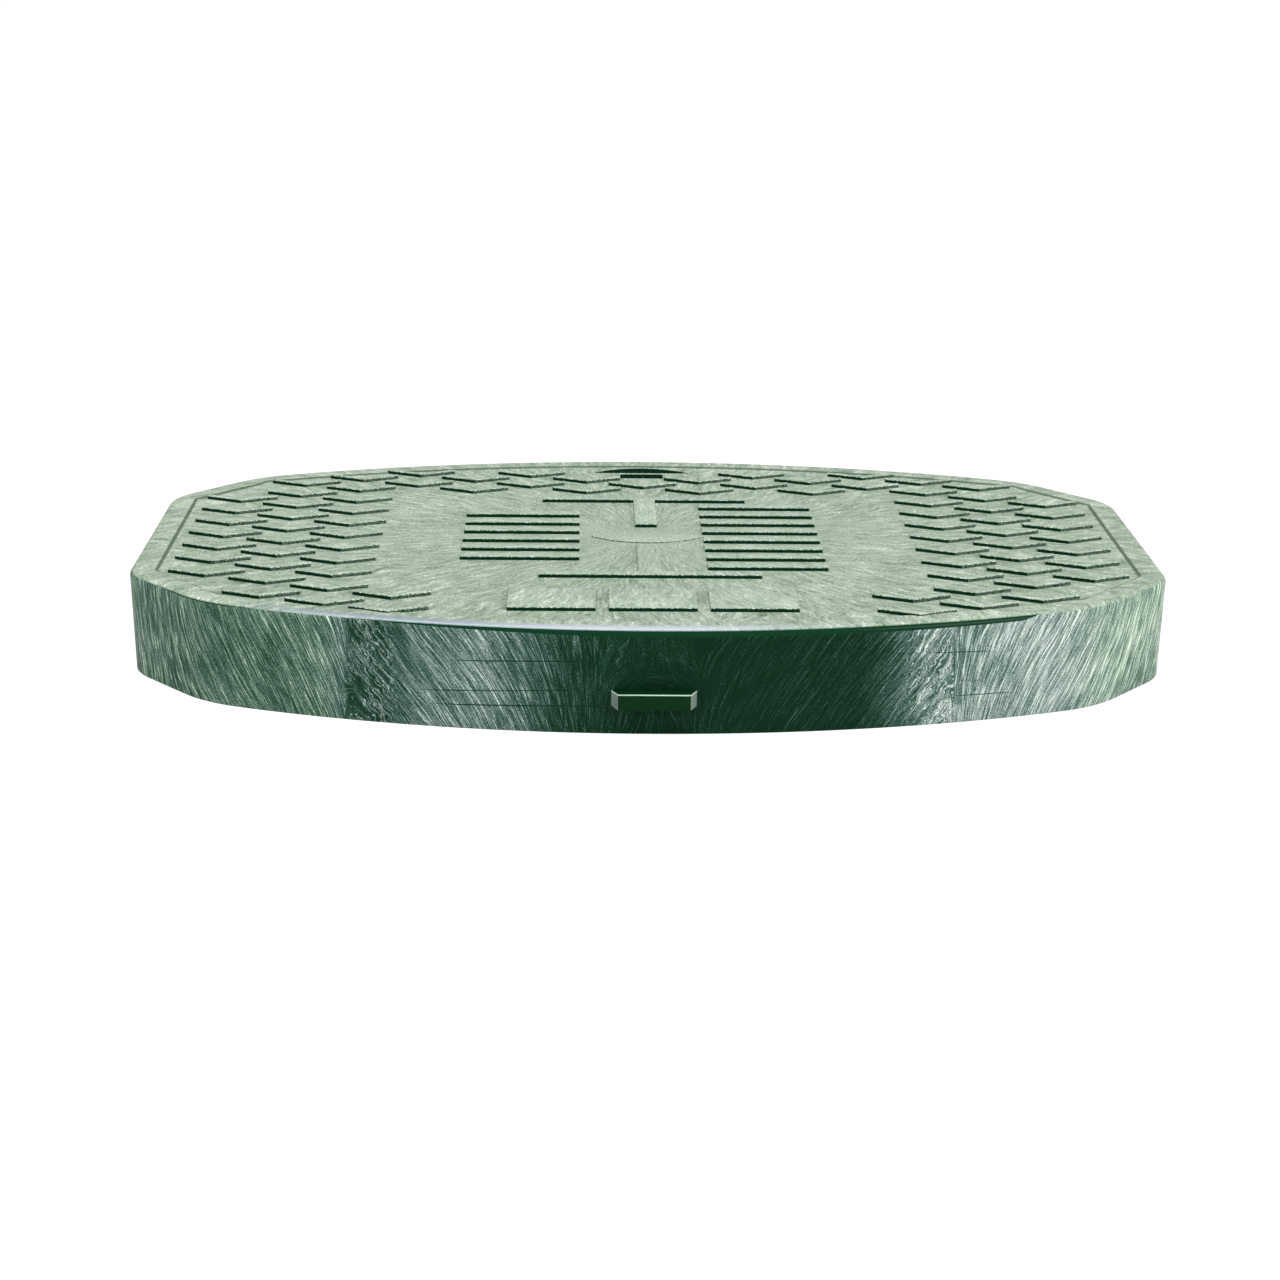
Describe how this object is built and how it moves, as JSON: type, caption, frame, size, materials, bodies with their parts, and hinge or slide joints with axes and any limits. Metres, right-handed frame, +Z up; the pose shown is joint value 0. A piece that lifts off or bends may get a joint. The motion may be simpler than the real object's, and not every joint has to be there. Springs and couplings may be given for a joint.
{
  "type": "valve box cover",
  "caption": "Green moulded drop-in cover for an irrigation valve box: bowed sides, cut corners, chevron treads, finger hole, front latch tab and ribbed underside.",
  "frame": {"origin": "middle of the skirt's lower edge, where the cover rests", "axes": "+X along the length, +Y from the latch tab towards the finger hole, +Z up out of the treaded face"},
  "size_m": [0.4268, 0.2998, 0.0433],
  "materials": {
    "green_plastic": "satin green plastic with pale flow streaks"
  },
  "bodies": {
    "root": {"cover": "green_plastic"}
  },
  "joints": []
}
